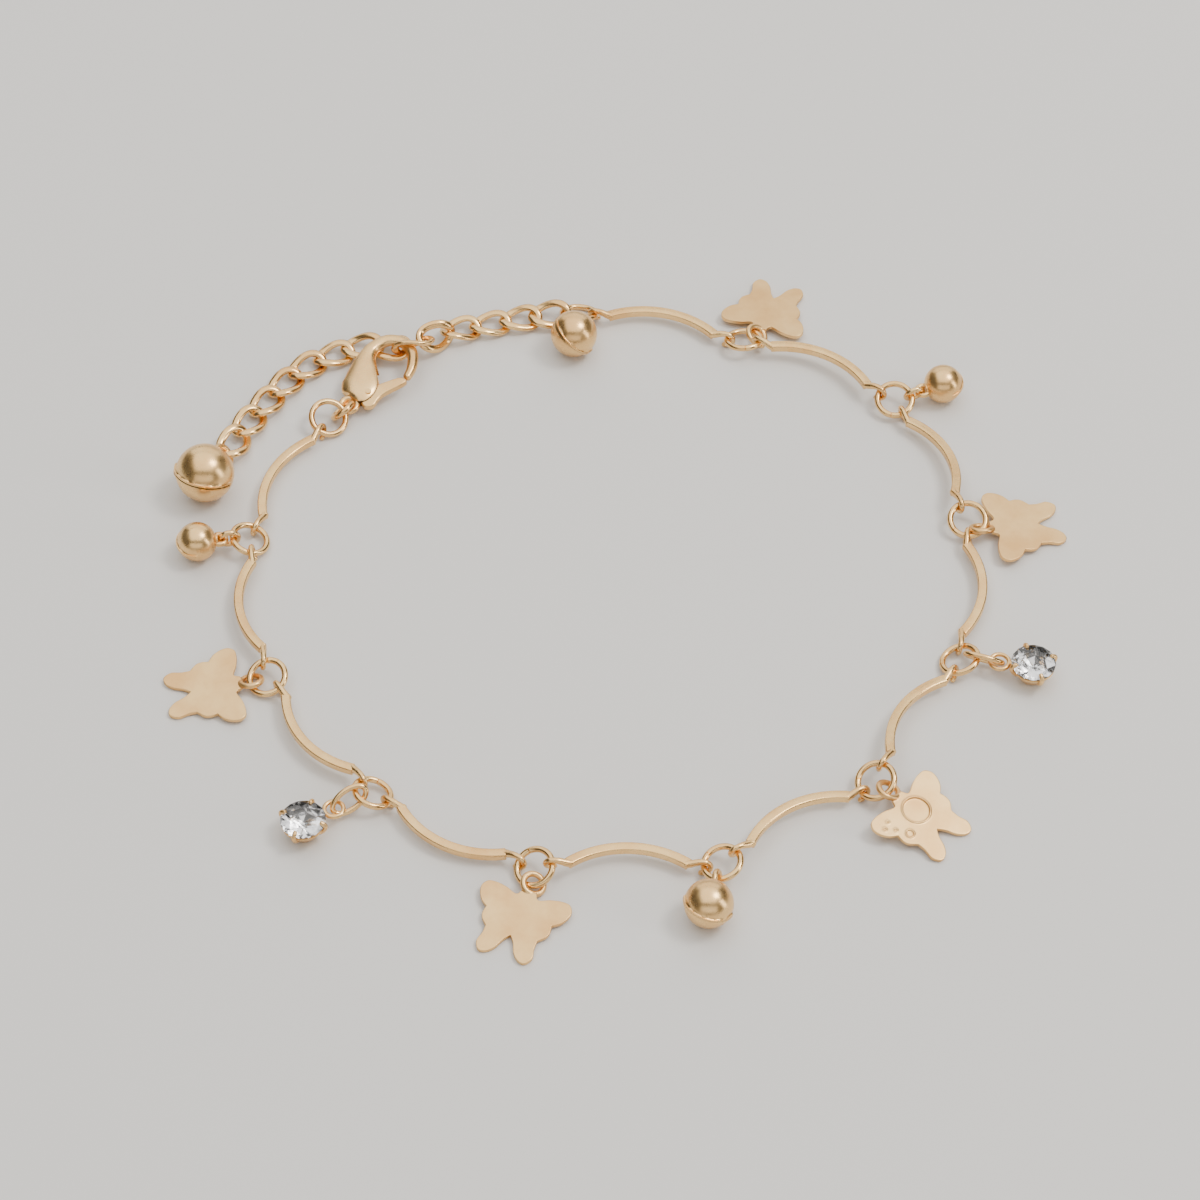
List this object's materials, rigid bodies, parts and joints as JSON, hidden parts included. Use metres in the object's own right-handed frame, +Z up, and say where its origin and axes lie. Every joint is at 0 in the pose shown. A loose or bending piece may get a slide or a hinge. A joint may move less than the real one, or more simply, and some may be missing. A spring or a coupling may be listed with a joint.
{
  "type": "charm anklet",
  "caption": "Charm anklet of bowed bars and jump rings with butterfly, bell and crystal charms, a lobster clasp and an extender chain, lying closed.",
  "frame": {"origin": "on the surface the anklet lies on, under the middle of its outline", "axes": "+Z up from the surface; +Y from the picture's near side to its far side; +X to the right; the clasp and the extender chain are at -X +Y"},
  "size_m": [0.0906, 0.0876, 0.0059],
  "materials": {
    "bar_gold": "rose-gold plated, smooth",
    "wire_gold": "rose-gold plated wire, polished",
    "plate_gold": "rose-gold plated sheet, satin",
    "polished_gold": "rose-gold plated, mirror polished",
    "crystal": "clear, faceted"
  },
  "bodies": {
    "anklet": {"bar_01": "bar_gold", "bar_02": "bar_gold", "bar_03": "bar_gold", "bar_04": "bar_gold", "bar_05": "bar_gold", "bar_06": "bar_gold", "bar_07": "bar_gold", "bar_08": "bar_gold", "bar_09": "bar_gold", "bar_10": "bar_gold", "bar_11": "bar_gold", "jump_ring_01": "wire_gold", "jump_ring_02": "wire_gold", "jump_ring_03": "wire_gold", "jump_ring_04": "wire_gold", "jump_ring_05": "wire_gold", "jump_ring_06": "wire_gold", "jump_ring_07": "wire_gold", "jump_ring_08": "wire_gold", "jump_ring_09": "wire_gold", "jump_ring_10": "wire_gold", "jump_ring_11": "wire_gold", "jump_ring_12": "wire_gold", "chain_link_01": "wire_gold", "chain_link_02": "wire_gold", "chain_link_03": "wire_gold", "chain_link_04": "wire_gold", "chain_link_05": "wire_gold", "chain_link_06": "wire_gold", "chain_link_07": "wire_gold", "chain_link_08": "wire_gold", "chain_link_09": "wire_gold", "chain_link_10": "wire_gold", "chain_link_11": "wire_gold", "chain_link_12": "wire_gold", "chain_link_13": "wire_gold", "chain_link_14": "wire_gold", "bell_link_1": "wire_gold", "bell_link_2": "wire_gold", "crystal_link_1": "wire_gold", "crystal_link_2": "wire_gold", "clasp_ring": "wire_gold", "butterfly_1": "plate_gold", "butterfly_2": "plate_gold", "butterfly_3": "plate_gold", "butterfly_4": "plate_gold", "butterfly_5": "plate_gold", "bell_1": "polished_gold", "bell_2": "polished_gold", "bell_3": "polished_gold", "bell_4": "polished_gold", "end_bell": "polished_gold", "clasp_body": "polished_gold", "crystal_setting_1": "polished_gold", "crystal_setting_2": "polished_gold", "crystal_1": "crystal", "crystal_2": "crystal"},
    "clasp_lever": {"clasp_lever": "polished_gold"}
  },
  "joints": [
    {"name": "clasp_lever_hinge", "type": "hinge", "parent": "anklet", "child": "clasp_lever", "pos_m": [-0.02616, 0.02621, 0.00134], "axis": [-0.0798, -0.114, 0.9903], "range_deg": [0, 25], "stiffness_Nm_per_rad": 0.002, "springref_deg": -20.05}
  ]
}
